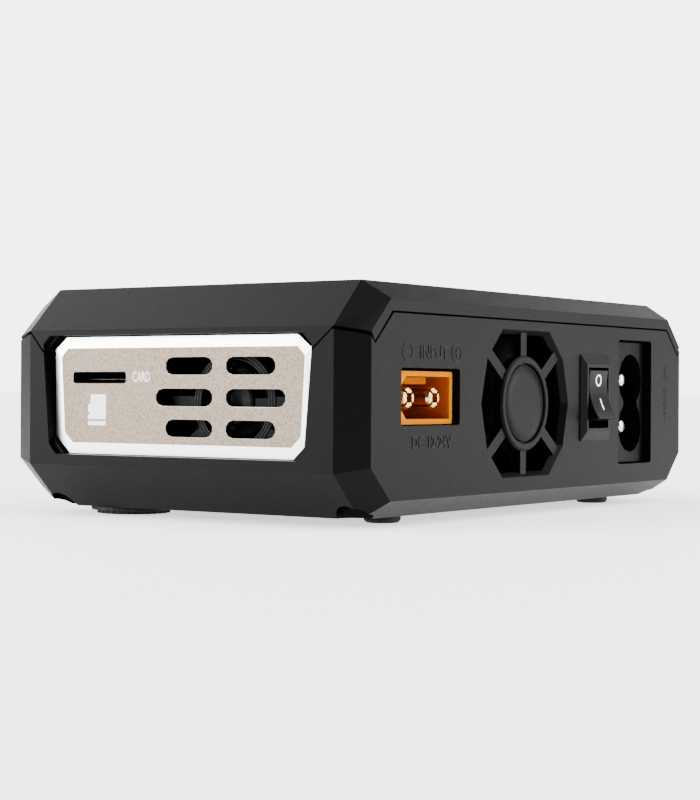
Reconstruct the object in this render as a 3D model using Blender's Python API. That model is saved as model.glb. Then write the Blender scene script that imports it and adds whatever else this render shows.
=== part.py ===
"""Balance battery charger: two-part case, end plates, fans, inlets, switch, display and inner boards.

Lengths are millimetres in the case frame (origin at the middle of the case);
every vertex is lifted so that the feet stand on z = 0 and stored in metres.
+X is the end with the card slot, +Y the input side, -Y the battery side.
"""
import bpy
import bmesh
import math
from mathutils import Vector

MM = 0.001

# ---- driving dimensions (mm) -------------------------------------------------
# case
CASE_L = 110.0            # along X
CASE_D = 70.0             # along Y
CASE_H = 35.6             # along Z, without feet
FOOT_H = 1.25
LIFT = FOOT_H + CASE_H / 2.0
EDGE_CUT = 7.0            # 45 degree cut along the long edges
BEVEL_D = 4.8             # depth of the bevel around the two long faces
FACE_HX, FACE_HZ = 52.3, 14.95
FACE_CUT_X, FACE_CUT_Z = 5.2, 5.0
WALL_Y = 33.0             # inner surface of the long walls
WALL_X = 49.9             # inner surface of the end walls
ROOF = 15.7               # inner surface of top and bottom
SEAM_Z = 13.15
SEAM_GAP = 0.3
FAR = 60.0                # clear of the case on every side
POST_X, POST_Y = 47.3, 28.8
POST_R, BOSS_R = 4.45, 2.75
SCREW_HOLE_R, SCREW_HEAD_R, SCREW_R = 1.4, 2.4, 1.1

# end plates
END_Y = -0.5              # middle of the plates and their pockets
POCKET_X = 52.2           # floor of the pocket
LEDGE_X = 54.1            # floor of the shallow step on the pocket's corners
PLATE_BACK_X, PLATE_EDGE_X, PLATE_FACE_X = 52.25, 53.38, 53.5
SLOT_ROWS = (5.0, 0.13, -4.65)
SLOT_H = 2.7
CARD_Y, CARD_Z, CARD_W, CARD_H = -16.5, 3.2, 11.2, 1.8

# 12 V input and battery output share one connector size
DC_X, DC_Z = 36.0, 0.3
DC_OPENING_Z = 0.45
DC_W, DC_H, DC_CUT = 16.0, 8.1, 2.4
DC_OPENING_W, DC_OPENING_H = 16.65, 8.7
DC_WALL = 0.8
DC_FRONT_Y, DC_FLOOR_Y, DC_BACK_Y = 33.8, 25.3, 21.9
DC_PITCH = 7.2
PIN_R, PIN_BORE_R, PIN_TIP_Y, PIN_TAIL_Y = 1.75, 0.8, 33.35, 16.0
OUT_X, OUT_Z, OUT_FRONT_Y = 33.0, -7.4, -37.93

# fans and their grilles
GRILLE_X, GRILLE_Z = 6.7, -0.6
GRILLE_CHAMFER_Y = 34.0
HUB_R, HUB_DISH_R = 7.85, 6.6
FAN1_SIZE, FAN1_Y0, FAN1_Y1 = 29.6, 21.8, 29.8
FAN2_SIZE, FAN2_X0, FAN2_X1 = 25.0, 41.6, 49.6
FAN2_Y, FAN2_Z = 9.0, -0.6
FAN_BLADES = 7

# switch
SWITCH_X, SWITCH_Z = -17.2, 0.35
SWITCH_W, SWITCH_H = 10.5, 15.0
SWITCH_BODY_W, SWITCH_BODY_H = 9.2, 13.4
SWITCH_PIVOT_Y = 34.0
SWITCH_TILT = 12.0        # degrees to each side of the middle
ROCKER_HALF_W = 3.45
TERMINAL_Z = 3.5          # from the switch's middle

# mains inlet
AC_X, AC_Z = -33.4, -0.4
AC_OPENING_W, AC_OPENING_H = 13.4, 22.3
AC_W, AC_H = 13.0, 22.0
AC_FRONT_Y, AC_FLOOR_Y, AC_BACK_Y = 33.5, 22.5, 19.5
EIGHT_X, EIGHT_Z, EIGHT_R, EIGHT_WAIST, AC_PITCH = -34.6, -0.65, 4.6, 2.6, 8.5
AC_PIN_R = 1.2

# battery side
BAL_X, BAL_Z, BAL_N, BAL_PITCH = 2.0, -8.55, 7, 2.5
BAL_W, BAL_H = (BAL_N - 1) * BAL_PITCH + 4.9, 5.8
USB_X, USB_Z = -26.0, -8.2
USB_W, USB_H = 14.5, 6.6

# top side
SCREEN_X, SCREEN_W, SCREEN_D = -8.0, 58.0, 44.0
SCREEN_STEP_Z, SCREEN_TOP_Z = 16.6, 17.7
WHEEL_X, WHEEL_Y, WHEEL_Z, WHEEL_R, WHEEL_W = 33.0, 6.0, 13.3, 5.3, 6.0
WHEEL_TEETH = 30
KEY_X, KEY_Y, KEY_R, KEY_TOP_Z = 33.0, -14.0, 3.6, 18.2

# feet and boards
FOOT_SMALL_X, FOOT_SMALL_Y, FOOT_SMALL_R = 35.0, 25.5, 2.9
FOOT_LARGE_X, FOOT_LARGE_Y, FOOT_LARGE_R = 41.0, -20.0, 7.0
FOOT_TEETH = 30
MAIN_BOARD_Z0, MAIN_BOARD_Z1 = 5.0, 6.6
POWER_BOARD_Z0, POWER_BOARD_Z1 = -13.2, -11.6
PART_Z0 = POWER_BOARD_Z1 + 0.1


# ---- building blocks ---------------------------------------------------------
def clear_scene():
    for obj in list(bpy.data.objects):
        bpy.data.objects.remove(obj, do_unlink=True)
    for block in (bpy.data.meshes, bpy.data.materials):
        for item in list(block):
            block.remove(item)


def place(axis, u, v, t):
    return {"x": (t, u, v), "y": (u, t, v), "z": (u, v, t)}[axis]


def solid(verts, faces):
    mesh = bpy.data.meshes.new("solid")
    mesh.from_pydata([(x * MM, y * MM, (z + LIFT) * MM) for x, y, z in verts], [], faces)
    bm = bmesh.new()
    bm.from_mesh(mesh)
    bmesh.ops.recalc_face_normals(bm, faces=bm.faces)
    bm.to_mesh(mesh)
    bm.free()
    obj = bpy.data.objects.new("solid", mesh)
    bpy.context.scene.collection.objects.link(obj)
    return obj


def loft(axis, sections):
    """Closed solid through (t, outline) sections that share one point count."""
    n = len(sections[0][1])
    verts = [place(axis, u, v, t) for t, ring in sections for u, v in ring]
    faces = [tuple(range(n)), tuple(range(len(verts) - n, len(verts)))]
    for s in range(len(sections) - 1):
        a, b = s * n, (s + 1) * n
        faces += [(a + i, a + (i + 1) % n, b + (i + 1) % n, b + i) for i in range(n)]
    return solid(verts, faces)


def prism(axis, outline, t0, t1):
    return loft(axis, [(t0, outline), (t1, outline)])


def box(x0, x1, y0, y1, z0, z1):
    return prism("z", [(x0, y0), (x1, y0), (x1, y1), (x0, y1)], z0, z1)


def circle(u, v, r, n=24):
    angles = [2 * math.pi * i / n for i in range(n)]
    return [(u + r * math.cos(a), v + r * math.sin(a)) for a in angles]


def toothed(u, v, r, depth, teeth):
    """Circle whose every second point is pulled in by the tooth depth."""
    ring = []
    for i in range(2 * teeth):
        a = math.pi * i / teeth
        q = r if i % 2 else r - depth
        ring.append((u + q * math.cos(a), v + q * math.sin(a)))
    return ring


def turned(axis, u, v, profile, n=24):
    """Solid of revolution through (t, radius) pairs."""
    return loft(axis, [(t, circle(u, v, r, n)) for t, r in profile])


def stadium(u0, u1, v, h, n=5):
    r = h / 2.0
    right = [(u1 - r + r * math.cos(a), v + r * math.sin(a))
             for a in (-math.pi / 2 + math.pi * i / n for i in range(n + 1))]
    left = [(u0 + r + r * math.cos(a), v + r * math.sin(a))
            for a in (math.pi / 2 + math.pi * i / n for i in range(n + 1))]
    return right + left


def rect(u, v, w, h):
    a, b = w / 2, h / 2
    return [(u - a, v - b), (u + a, v - b), (u + a, v + b), (u - a, v + b)]


def rounded(u, v, w, h, r, n=3):
    """Rectangle with its corners rounded to radius r."""
    ring = []
    for k, (su, sv) in enumerate(((1, 1), (-1, 1), (-1, -1), (1, -1))):
        for i in range(n + 1):
            a = math.pi / 2 * (k + i / n)
            ring.append((u + su * (w / 2 - r) + r * math.cos(a), v + sv * (h / 2 - r) + r * math.sin(a)))
    return ring


def scaled(outline, u, v, factor):
    return [(u + (p - u) * factor, v + (q - v) * factor) for p, q in outline]


def octagon(hx, hz, cx, cz):
    return [(-hx + cx, -hz), (hx - cx, -hz), (hx, -hz + cz), (hx, hz - cz),
            (hx - cx, hz), (-hx + cx, hz), (-hx, hz - cz), (-hx, -hz + cz)]


def mirrored(half, middle=0.0):
    """Closes a chain given for +u by its mirror image, then moves it to its middle."""
    return [(middle + u, v) for u, v in half] + [(middle - u, v) for u, v in reversed(half)]


def keyed(u, v, w, h, cut):
    """Rectangle with the two corners on its +u side cut off."""
    a, b = w / 2, h / 2
    return [(u - a, v - b), (u + a - cut, v - b), (u + a, v - b + cut),
            (u + a, v + b - cut), (u + a - cut, v + b), (u - a, v + b)]


def combine(obj, tools, operation):
    for tool in tools:
        mod = obj.modifiers.new("step", "BOOLEAN")
        mod.operation = operation
        mod.solver = "EXACT"
        mod.object = tool
        bpy.context.view_layer.update()
        graph = bpy.context.evaluated_depsgraph_get()
        mesh = bpy.data.meshes.new_from_object(obj.evaluated_get(graph))
        obj.modifiers.clear()
        old, obj.data = obj.data, mesh
        bpy.data.meshes.remove(old)
        bpy.data.objects.remove(tool, do_unlink=True)
    return obj


def cut(obj, *tools):
    return combine(obj, tools, "DIFFERENCE")


def fuse(obj, *tools):
    return combine(obj, tools, "UNION")


def keep(obj, tool):
    return combine(obj, [tool], "INTERSECT")


def finish(obj, name, colour, rough, metal=0.0, origin=None):
    """Name the piece, clean its mesh, give it its material and put its origin on its axis."""
    bm = bmesh.new()
    bm.from_mesh(obj.data)
    bmesh.ops.remove_doubles(bm, verts=bm.verts, dist=2e-6)
    bmesh.ops.dissolve_limit(bm, angle_limit=math.radians(0.05), verts=bm.verts, edges=bm.edges)
    bmesh.ops.triangulate(bm, faces=bm.faces)
    bm.to_mesh(obj.data)
    bm.free()
    obj.name = name
    obj.data.name = name
    mat = bpy.data.materials.new(name + "_material")
    mat.use_nodes = True
    shader = mat.node_tree.nodes["Principled BSDF"]
    shader.inputs["Base Color"].default_value = (*colour, 1.0)
    shader.inputs["Roughness"].default_value = rough
    shader.inputs["Metallic"].default_value = metal
    obj.data.materials.clear()
    obj.data.materials.append(mat)
    if origin:
        point = Vector((origin[0] * MM, origin[1] * MM, (origin[2] + LIFT) * MM))
        for vert in obj.data.vertices:
            vert.co -= point
        obj.location = point
    return obj


BLACK = (0.035, 0.035, 0.038)
GREY = (0.06, 0.06, 0.063)
CHAMPAGNE = (0.58, 0.5, 0.44)
AMBER = (0.9, 0.45, 0.07)
GOLD = (0.85, 0.62, 0.25)
NICKEL = (0.75, 0.73, 0.7)
GREEN = (0.02, 0.12, 0.06)
STEEL = (0.5, 0.5, 0.52)
IVORY = (0.75, 0.73, 0.68)
BLUE = (0.02, 0.08, 0.3)


# ---- case --------------------------------------------------------------------
def case_body():
    small = octagon(FACE_HX, FACE_HZ, FACE_CUT_X, FACE_CUT_Z)
    large = octagon(CASE_L / 2, CASE_H / 2, EDGE_CUT, EDGE_CUT)
    y0 = CASE_D / 2
    y1 = y0 - BEVEL_D
    return loft("y", [(-y0, small), (-y1, large), (y1, large), (y0, small)])


def case_cavity():
    small = octagon(WALL_X - 0.9, ROOF - 1.7, 2.3, 2.3)
    large = octagon(WALL_X, ROOF, 2.9, 2.9)
    y1 = WALL_Y - 3.5
    return loft("y", [(-WALL_Y, small), (-y1, large), (y1, large), (WALL_Y, small)])


def top_region(gap):
    """Everything above the seam; gap lowers the surface for the bottom part, more so on the corners."""
    z = SEAM_Z - gap
    edge_z, face_z = CASE_H / 2 - EDGE_CUT, FACE_HZ - FACE_CUT_Z
    slope = (edge_z - face_z) / (CASE_L / 2 - FACE_HX)
    region = box(-FAR, FAR, -FAR, FAR, z, FAR)
    for s in (-1, 1):
        wedge = [(s * (46.75 - gap), z + 0.5), (s * (46.75 - gap), z),
                 (s * (51.4 - gap * 0.3), face_z - 1.4 - gap * 1.3),
                 (s * (FACE_HX + gap * 0.7), face_z - gap * 1.6),
                 (s * (FAR + 1), face_z - gap * 1.8 + slope * (FAR + 1 - FACE_HX)), (s * (FAR + 1), z + 0.5)]
        fuse(region, prism("y", wedge, -FAR + 1, FAR - 1))
        tab = [(26.25 + gap * 0.4, 7.5 - gap), (30.2 + gap, edge_z), (30.2 + gap, edge_z + 0.4),
               (-30.2 - gap, edge_z + 0.4), (-30.2 - gap, edge_z), (-27.25 - gap * 0.4, 7.5 - gap)]
        fuse(region, prism("x", tab, *sorted((s * 49.0, s * (FAR + 2)))))
    return region


def pocket_outline():
    return mirrored([(24.3, 9.9), (26.75, 7.5), (25.6, -6.3), (22.9, -9.1)], END_Y)


def ledge_outline():
    return mirrored([(25.4, 9.9), (26.75, 8.6), (26.75, 7.5), (25.5, -7.5), (24.05, -9.1)], END_Y)


def cut_pockets(shell):
    for s in (-1, 1):
        cut(shell, prism("x", ledge_outline(), *sorted((s * LEDGE_X, s * FAR))),
            prism("x", pocket_outline(), *sorted((s * POCKET_X, s * FAR))))


def posts(radius, z0, z1, n=20):
    return [turned("z", sx * POST_X, sy * POST_Y, [(z0, radius), (z1, radius)], n)
            for sx in (-1, 1) for sy in (-1, 1)]


def grille_outline():
    right = [(7.7, 12.0), (12.6, 7.3), (14.5, 0.0), (12.6, -7.3), (7.7, -12.0)]
    return [(GRILLE_X + u, GRILLE_Z + v) for u, v in mirrored(right)]


def grille_opening():
    """Straight at the back, opening out towards the face."""
    full = grille_outline()
    face, rise = CASE_D / 2, CASE_D / 2 - GRILLE_CHAMFER_Y
    narrow, wide = (scaled(full, GRILLE_X, GRILLE_Z, f) for f in (0.94, 1.06))
    return loft("y", [(WALL_Y - 1, narrow), (GRILLE_CHAMFER_Y, narrow), (face + rise, wide)])


def spoke(axis, u, v, angle, r0, r1, width, t0, t1):
    a = math.radians(angle)
    c, s, w = math.cos(a), math.sin(a), width / 2
    corners = [(r0, -w), (r1, -w), (r1, w), (r0, w)]
    return prism(axis, [(u + r * c - k * s, v + r * s + k * c) for r, k in corners], t0, t1)


def end_hub():
    """Ring and boss on spokes behind the slots of the end plate."""
    x0, x1 = WALL_X + 0.05, 51.1
    hub = turned("x", FAN2_Y, FAN2_Z, [(x0, HUB_R), (x1 - 0.3, HUB_R), (x1, HUB_R - 0.3)], 32)
    for angle, reach in ((0, 13.0), (180, 15.0), (216, 12.5), (270, 7.55), (324, 12.5)):
        fuse(hub, spoke("x", FAN2_Y, FAN2_Z, angle, HUB_DISH_R + 0.5, reach, 1.9, x0 + 0.05, x1 - 0.1))
    cut(hub, turned("x", FAN2_Y, FAN2_Z, [(x0 - 1, HUB_DISH_R), (x1 + 1, HUB_DISH_R)], 32))
    boss = turned("x", FAN2_Y, FAN2_Z, [(x0 + 0.1, 3.6), (x1 - 0.25, 3.6), (x1 - 0.05, 3.4)], 28)
    for angle in (0, 120, 240):
        fuse(boss, spoke("x", FAN2_Y, FAN2_Z, angle, 2.0, HUB_DISH_R + 0.4, 1.4, x0 + 0.15, x1 - 0.4))
    return fuse(hub, boss)


def input_grille():
    """Hub with a sunk face, level with the wall, on six spokes set a little back."""
    y0, y1 = WALL_Y + 0.05, CASE_D / 2 - 0.05
    grille = turned("y", GRILLE_X, GRILLE_Z, [(y0, HUB_R), (y1 - 0.3, HUB_R), (y1, HUB_R - 0.3)], 40)
    for angle, reach in ((90, 12.6), (270, 12.6), (36, 15.0), (144, 15.0), (216, 15.0), (324, 15.0)):
        fuse(grille, spoke("y", GRILLE_X, GRILLE_Z, angle, 3.0, reach, 1.9, y0 + 0.15, y1 - 0.5))
    dish = [(y1 - 0.75, HUB_DISH_R), (y1 - 0.15, HUB_DISH_R), (y1 + 0.2, HUB_DISH_R + 0.35)]
    return cut(grille, turned("y", GRILLE_X, GRILLE_Z, dish, 40))


def build_bottom_shell():
    shell = cut(case_body(), cut(case_cavity(), *posts(POST_R, -FAR, -10.4)), top_region(SEAM_GAP))
    cut(shell, *posts(BOSS_R + 0.35, -10.2, 16.0))
    cut(shell, *posts(SCREW_HEAD_R + 0.4, -20, -13.5), *posts(SCREW_HOLE_R, -14, -9))
    cut_pockets(shell)
    cut(shell, box(49.0, 53.0, -5.0, 21.0, -7.2, 9.0), box(-53.0, -49.0, -19.0, 19.0, -7.2, 9.0),
        box(49.0, 53.0, CARD_Y - 6.0, CARD_Y + 6.0, CARD_Z - 1.1, CARD_Z + 1.1))
    fuse(shell, end_hub())
    # input side
    cut(shell, prism("y", rounded(DC_X, DC_OPENING_Z, DC_OPENING_W, DC_OPENING_H, 0.5), 32, 36),
        grille_opening(),
        prism("y", rect(SWITCH_X, SWITCH_Z, SWITCH_BODY_W + 0.4, SWITCH_BODY_H + 0.4), 32, 36),
        prism("y", rounded(AC_X, AC_Z, AC_OPENING_W, AC_OPENING_H, 0.6), 32, 36))
    fuse(shell, input_grille())
    # battery side
    cut(shell, prism("y", keyed(OUT_X, OUT_Z, DC_W + 0.6, DC_H + 0.6, DC_CUT), -36, -32),
        prism("y", rect(BAL_X, BAL_Z, BAL_W + 0.4, BAL_H + 0.5), -36, -32),
        prism("y", rect(USB_X, USB_Z, USB_W + 0.4, USB_H + 0.4), -36, -32))
    finish(shell, "bottom_shell", BLACK, 0.55)


def build_top_shell():
    shell = cut(keep(case_body(), top_region(0.0)), case_cavity())
    cut_pockets(shell)
    fuse(shell, *posts(BOSS_R, -10.0, ROOF - 0.3, 16))
    cut(shell, *posts(SCREW_R + 0.15, -11.0, 2.0, 12))
    cut(shell, prism("z", rect(SCREEN_X, 0, SCREEN_W - 4, SCREEN_D - 4), 14, 19),
        prism("z", rect(SCREEN_X, 0, SCREEN_W, SCREEN_D), SCREEN_STEP_Z, 19),
        prism("z", rect(WHEEL_X, WHEEL_Y, WHEEL_W + 0.8, 2 * WHEEL_R - 0.2), 14, 19),
        turned("z", KEY_X, KEY_Y, [(14, KEY_R + 0.25), (19, KEY_R + 0.25)], 24))
    finish(shell, "top_shell", BLACK, 0.55)


def build_end_plates():
    outer = mirrored([(23.1, 9.7), (25.6, 7.7), (25.35, -6.2), (22.4, -9.0)], END_Y)
    field = mirrored([(23.0, 7.9), (24.3, 6.5), (23.6, -5.55), (21.9, -7.2)], END_Y * 0.6)
    top, middle, low = SLOT_ROWS
    card_end = [(-2.75, 6.6, top), (-4.7, 6.6, middle), (-2.75, 6.6, low),
                (9.15, 18.6, top), (9.15, 20.5, middle), (9.15, 18.6, low)]
    far_end = [(a, a + 9.0, z) for z in SLOT_ROWS for a in (-18.5, -4.5, 9.5)]
    card_slot = prism("x", rounded(CARD_Y, CARD_Z, CARD_W, CARD_H, 0.4), 51, 55)
    ends = ((1, "end_plate_right", card_end, [card_slot]), (-1, "end_plate_left", far_end, []))
    for s, name, slots, tools in ends:
        plate = loft("x", [(s * PLATE_BACK_X, outer), (s * PLATE_EDGE_X, outer), (s * PLATE_FACE_X, field)])
        tools += [prism("x", stadium(a, b, z, SLOT_H), *sorted((s * 51, s * 55))) for a, b, z in slots]
        finish(cut(plate, *tools), name, CHAMPAGNE, 0.4, 1.0)


def build_feet():
    base = -CASE_H / 2
    ground, seat = base - FOOT_H, base - 0.02
    for s, side in ((1, "right"), (-1, "left")):
        r = FOOT_SMALL_R
        small = turned("z", s * FOOT_SMALL_X, FOOT_SMALL_Y, [(ground, r - 0.4), (base - 0.8, r), (seat, r)], 20)
        finish(small, "foot_rear_" + side, BLACK, 0.9)
        r, x, y = FOOT_LARGE_R, s * FOOT_LARGE_X, FOOT_LARGE_Y
        collar = turned("z", x, y, [(base - 0.65, r), (seat, r)], 28)
        pad = prism("z", toothed(x, y, r - 0.9, 0.3, FOOT_TEETH), ground, base - 0.6)
        finish(fuse(collar, pad), "foot_front_" + side, BLACK, 0.9)


def build_screws():
    for sx, a in ((1, "right"), (-1, "left")):
        for sy, b in ((1, "rear"), (-1, "front")):
            x, y = sx * POST_X, sy * POST_Y
            head = [(-15.5, SCREW_HEAD_R - 0.5), (-15.1, SCREW_HEAD_R), (-13.6, SCREW_HEAD_R)]
            screw = turned("z", x, y, head + [(-13.58, SCREW_R), (-2.6, SCREW_R), (-2.0, 0.5)], 16)
            cut(screw, box(x - 1.4, x + 1.4, y - 0.3, y + 0.3, -16, -14.5),
                box(x - 0.3, x + 0.3, y - 1.4, y + 1.4, -16, -14.5))
            finish(screw, "screw_%s_%s" % (b, a), STEEL, 0.4, 1.0)


# ---- fans --------------------------------------------------------------------
def fan_blade(axis, u, v, angle, r0, r1, middle, half):
    """Tilted plate from r0 to r1, swept forward and wider at its tip."""
    verts = []
    for r, sweep, width in ((r0, 0.0, 2.0), (r1, 2.4, 3.2)):
        for q, t in ((-width, -half), (-width + 0.8, -half), (width, half), (width - 0.8, half)):
            a = angle + (q + sweep) / r
            verts.append(place(axis, u + r * math.cos(a), v + r * math.sin(a), middle + t))
    sides = [(i, (i + 1) % 4, 4 + (i + 1) % 4, 4 + i) for i in range(4)]
    return solid(verts, [(0, 1, 2, 3), (4, 5, 6, 7)] + sides)


def build_fan(name, axis, u, v, size, t0, t1, bore, hub_r):
    """Frame with its motor base at t0; rotor open towards t1."""
    frame = prism(axis, rect(u, v, size, size), t0, t1)
    cut(frame, turned(axis, u, v, [(t0 - 1, bore), (t1 + 1, bore)], 32))
    base = turned(axis, u, v, [(t0 + 0.1, hub_r), (t0 + 1.4, hub_r)], 24)
    for angle in (60, 180, 300):
        fuse(base, spoke(axis, u, v, angle, 3.0, bore + 0.6, 1.8, t0 + 0.2, t0 + 1.2))
    cut(base, turned(axis, u, v, [(t0 - 1, 1.2), (t0 + 3, 1.2)], 16))
    fuse(frame, base)
    d = size / 2 - 2.0
    cut(frame, *[turned(axis, u + a * d, v + b * d, [(t0 - 1, 0.9), (t1 + 1, 0.9)], 10)
                 for a in (-1, 1) for b in (-1, 1)])
    finish(frame, name + "_frame", BLACK, 0.6)

    cup_r = hub_r - 0.3
    rotor = turned(axis, u, v, [(t0 + 1.9, cup_r), (t1 - 0.9, cup_r), (t1 - 0.5, cup_r - 0.5)], 24)
    fuse(rotor, turned(axis, u, v, [(t0 + 0.3, 1.0), (t0 + 3.0, 1.0)], 16))
    middle = (t0 + t1 + 1.3) / 2
    half = (t1 - t0 - 3.3) / 2
    for k in range(FAN_BLADES):
        angle = 2 * math.pi * k / FAN_BLADES
        fuse(rotor, fan_blade(axis, u, v, angle, hub_r - 1.2, bore - 0.6, middle, half))
    finish(rotor, name + "_rotor", BLACK, 0.5, origin=place(axis, u, v, (t0 + t1) / 2))


# ---- input side --------------------------------------------------------------
def split_pin(x, z, y0, y1, r):
    """Round hollow pin along Y from y0 to a rounded tip at y1, split into four."""
    tail, shank = r * 0.8, y0 + 4.0
    tip = [(y1 - 0.6, r), (y1 - 0.15, r * 0.86), (y1, r * 0.7)]
    pin = turned("y", x, z, [(y0, tail), (shank, tail), (shank + 0.05, r)] + tip, 20)
    slots = [spoke("y", x, z, angle, -3.0, 3.0, 0.44, y1 - 5.5, y1 + 1.0) for angle in (45, 135)]
    return cut(pin, *slots, turned("y", x, z, [(y1 - 6.0, PIN_BORE_R), (y1 + 1.0, PIN_BORE_R)], 12))


def figure_eight(u, v, r, pitch, waist, n=12):
    dz = math.sqrt(r * r - waist * waist)
    a0 = -math.atan2(dz, waist)
    upper = []
    for i in range(n + 1):
        a = a0 + (math.pi - 2 * a0) * i / n
        upper.append((u + r * math.cos(a), v + pitch / 2 + r * math.sin(a)))
    lower = [(2 * u - p[0], 2 * v - p[1]) for p in upper]
    return upper + lower


def build_dc_input():
    pins = [DC_X + s * DC_PITCH / 2 for s in (1, -1)]
    w, h = DC_W - 2 * DC_WALL, DC_H - 2 * DC_WALL
    housing = prism("y", rounded(DC_X, DC_Z, DC_W, DC_H, 0.3), DC_BACK_Y, DC_FRONT_Y)
    cut(housing, prism("y", keyed(DC_X, DC_Z, w, h, DC_CUT - 0.3), DC_FLOOR_Y, DC_FRONT_Y + 1))
    hole = [(DC_BACK_Y - 1, PIN_R + 0.15), (DC_FLOOR_Y + 1, PIN_R + 0.15)]
    cut(housing, *[turned("y", x, DC_Z, hole, 20) for x in pins])
    finish(housing, "dc_input_housing", AMBER, 0.35)
    for k, x in enumerate(pins):
        finish(split_pin(x, DC_Z, PIN_TAIL_Y, PIN_TIP_Y, PIN_R), "dc_input_pin_%d" % (k + 1), GOLD, 0.25, 1.0)


def build_ac_inlet():
    pins = [EIGHT_Z + s * AC_PITCH / 2 for s in (1, -1)]
    eight = figure_eight(EIGHT_X, EIGHT_Z, EIGHT_R, AC_PITCH, EIGHT_WAIST)
    housing = prism("y", rect(AC_X, AC_Z, AC_W, AC_H), AC_BACK_Y, AC_FRONT_Y)
    cut(housing, prism("y", eight, AC_FLOOR_Y, AC_FRONT_Y + 1))
    hole = [(AC_BACK_Y - 1, AC_PIN_R + 0.15), (AC_FLOOR_Y + 1, AC_PIN_R + 0.15)]
    cut(housing, *[turned("y", EIGHT_X, z, hole, 16) for z in pins])
    finish(housing, "ac_inlet_housing", BLACK, 0.4)
    for k, z in enumerate(pins):
        r, tip = AC_PIN_R, AC_FRONT_Y - 1.9
        pin = turned("y", EIGHT_X, z, [(14.0, r), (tip - 0.6, r), (tip - 0.1, r - 0.3), (tip, r - 0.7)], 16)
        finish(pin, "ac_inlet_pin_%d" % (k + 1), NICKEL, 0.2, 1.0)


def rocker_outline():
    """Side view about the pivot: hollow front with a raised lip at each end, tilted to one side."""
    half = [(3.1, 4.3), (2.35, 1.6), (2.2, 0.0), (2.35, -1.6), (3.1, -4.3)]
    back = [(-0.6, -4.3), (-2.6, -1.5), (-2.6, 1.5), (-0.6, 4.3)]
    a = math.radians(SWITCH_TILT)
    return [(u * math.cos(a) - v * math.sin(a), u * math.sin(a) + v * math.cos(a)) for u, v in half + back]


def build_switch():
    x, z, face = SWITCH_X, SWITCH_Z, CASE_D / 2
    housing = prism("y", rect(x, z, SWITCH_BODY_W, SWITCH_BODY_H), 23.0, face + 0.15)
    bezel = [(face + 0.05, rect(x, z, SWITCH_W, SWITCH_H)), (face + 0.2, rect(x, z, SWITCH_W, SWITCH_H)),
             (face + 1.0, rect(x, z, SWITCH_W - 2.1, SWITCH_H - 3.3))]
    fuse(housing, loft("y", bezel))
    cut(housing, prism("y", rect(x, z, 7.4, 10.5), 28.5, face + 2))
    cut(housing, *[box(x - 2.6, x + 2.6, 22, 30, z + s * TERMINAL_Z - 0.55, z + s * TERMINAL_Z + 0.55)
                   for s in (-1, 1)])
    finish(housing, "switch_housing", BLACK, 0.45)
    outline = [(SWITCH_PIVOT_Y + u, z + v) for u, v in rocker_outline()]
    rocker = prism("x", outline, x - ROCKER_HALF_W, x + ROCKER_HALF_W)
    finish(rocker, "switch_rocker", GREY, 0.4, origin=(x, SWITCH_PIVOT_Y, z))
    for k, s in ((1, 1), (2, -1)):
        t = z + s * TERMINAL_Z
        finish(box(x - 2.4, x + 2.4, 16.0, 29.0, t - 0.4, t + 0.4), "switch_terminal_%d" % k, NICKEL, 0.3, 1.0)


# ---- battery side ------------------------------------------------------------
def build_output():
    x, z, y = OUT_X, OUT_Z, OUT_FRONT_Y
    sockets = [x + s * DC_PITCH / 2 for s in (1, -1)]
    housing = prism("y", keyed(x, z, DC_W, DC_H, DC_CUT), y, -DC_BACK_Y)
    for u in sockets:
        cut(housing, turned("y", u, z, [(y - 1, 2.75), (y + 9, 2.75)], 20),
            turned("y", u, z, [(y + 8, 1.5), (-20, 1.5)], 16))
    finish(housing, "output_housing", AMBER, 0.35)
    for k, u in enumerate(sockets):
        socket = turned("y", u, z, [(y + 0.4, 2.5), (y + 8.7, 2.5), (y + 8.72, 1.35), (-18.0, 1.35)], 20)
        cut(socket, turned("y", u, z, [(y - 1, 1.8), (y + 8.0, 1.8)], 20))
        finish(socket, "output_socket_%d" % (k + 1), GOLD, 0.25, 1.0)


def build_balance_header():
    header = prism("y", rect(BAL_X, BAL_Z, BAL_W, BAL_H), -35.1, -24.0)
    cut(header, prism("y", rect(BAL_X, BAL_Z, BAL_W - 1.7, BAL_H - 1.7), -36, -27.0),
        box(BAL_X - 3.4, BAL_X + 3.4, -36, -30.0, BAL_Z + 1.0, BAL_Z + 3.5))
    pins = [BAL_X + (i - (BAL_N - 1) / 2) * BAL_PITCH for i in range(BAL_N)]
    cut(header, *[prism("y", rect(p, BAL_Z, 0.9, 0.9), -28, -23) for p in pins])
    finish(header, "balance_header", IVORY, 0.5)
    for i, p in enumerate(pins):
        pin = prism("y", rect(p, BAL_Z, 0.64, 0.64), -33.2, -22.5)
        finish(pin, "balance_pin_%d" % (i + 1), NICKEL, 0.25, 1.0)


def build_usb():
    x, z = USB_X, USB_Z
    shell = prism("y", rect(x, z, USB_W, USB_H), -35.2, -21.5)
    cut(shell, prism("y", rect(x, z, USB_W - 1, USB_H - 1), -36, -22.1))
    finish(shell, "usb_shell", STEEL, 0.25, 1.0)
    finish(box(x - 5.6, x + 5.6, -33.2, -22.3, z + 0.1, z + 2.0), "usb_tongue", BLUE, 0.5)


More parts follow.
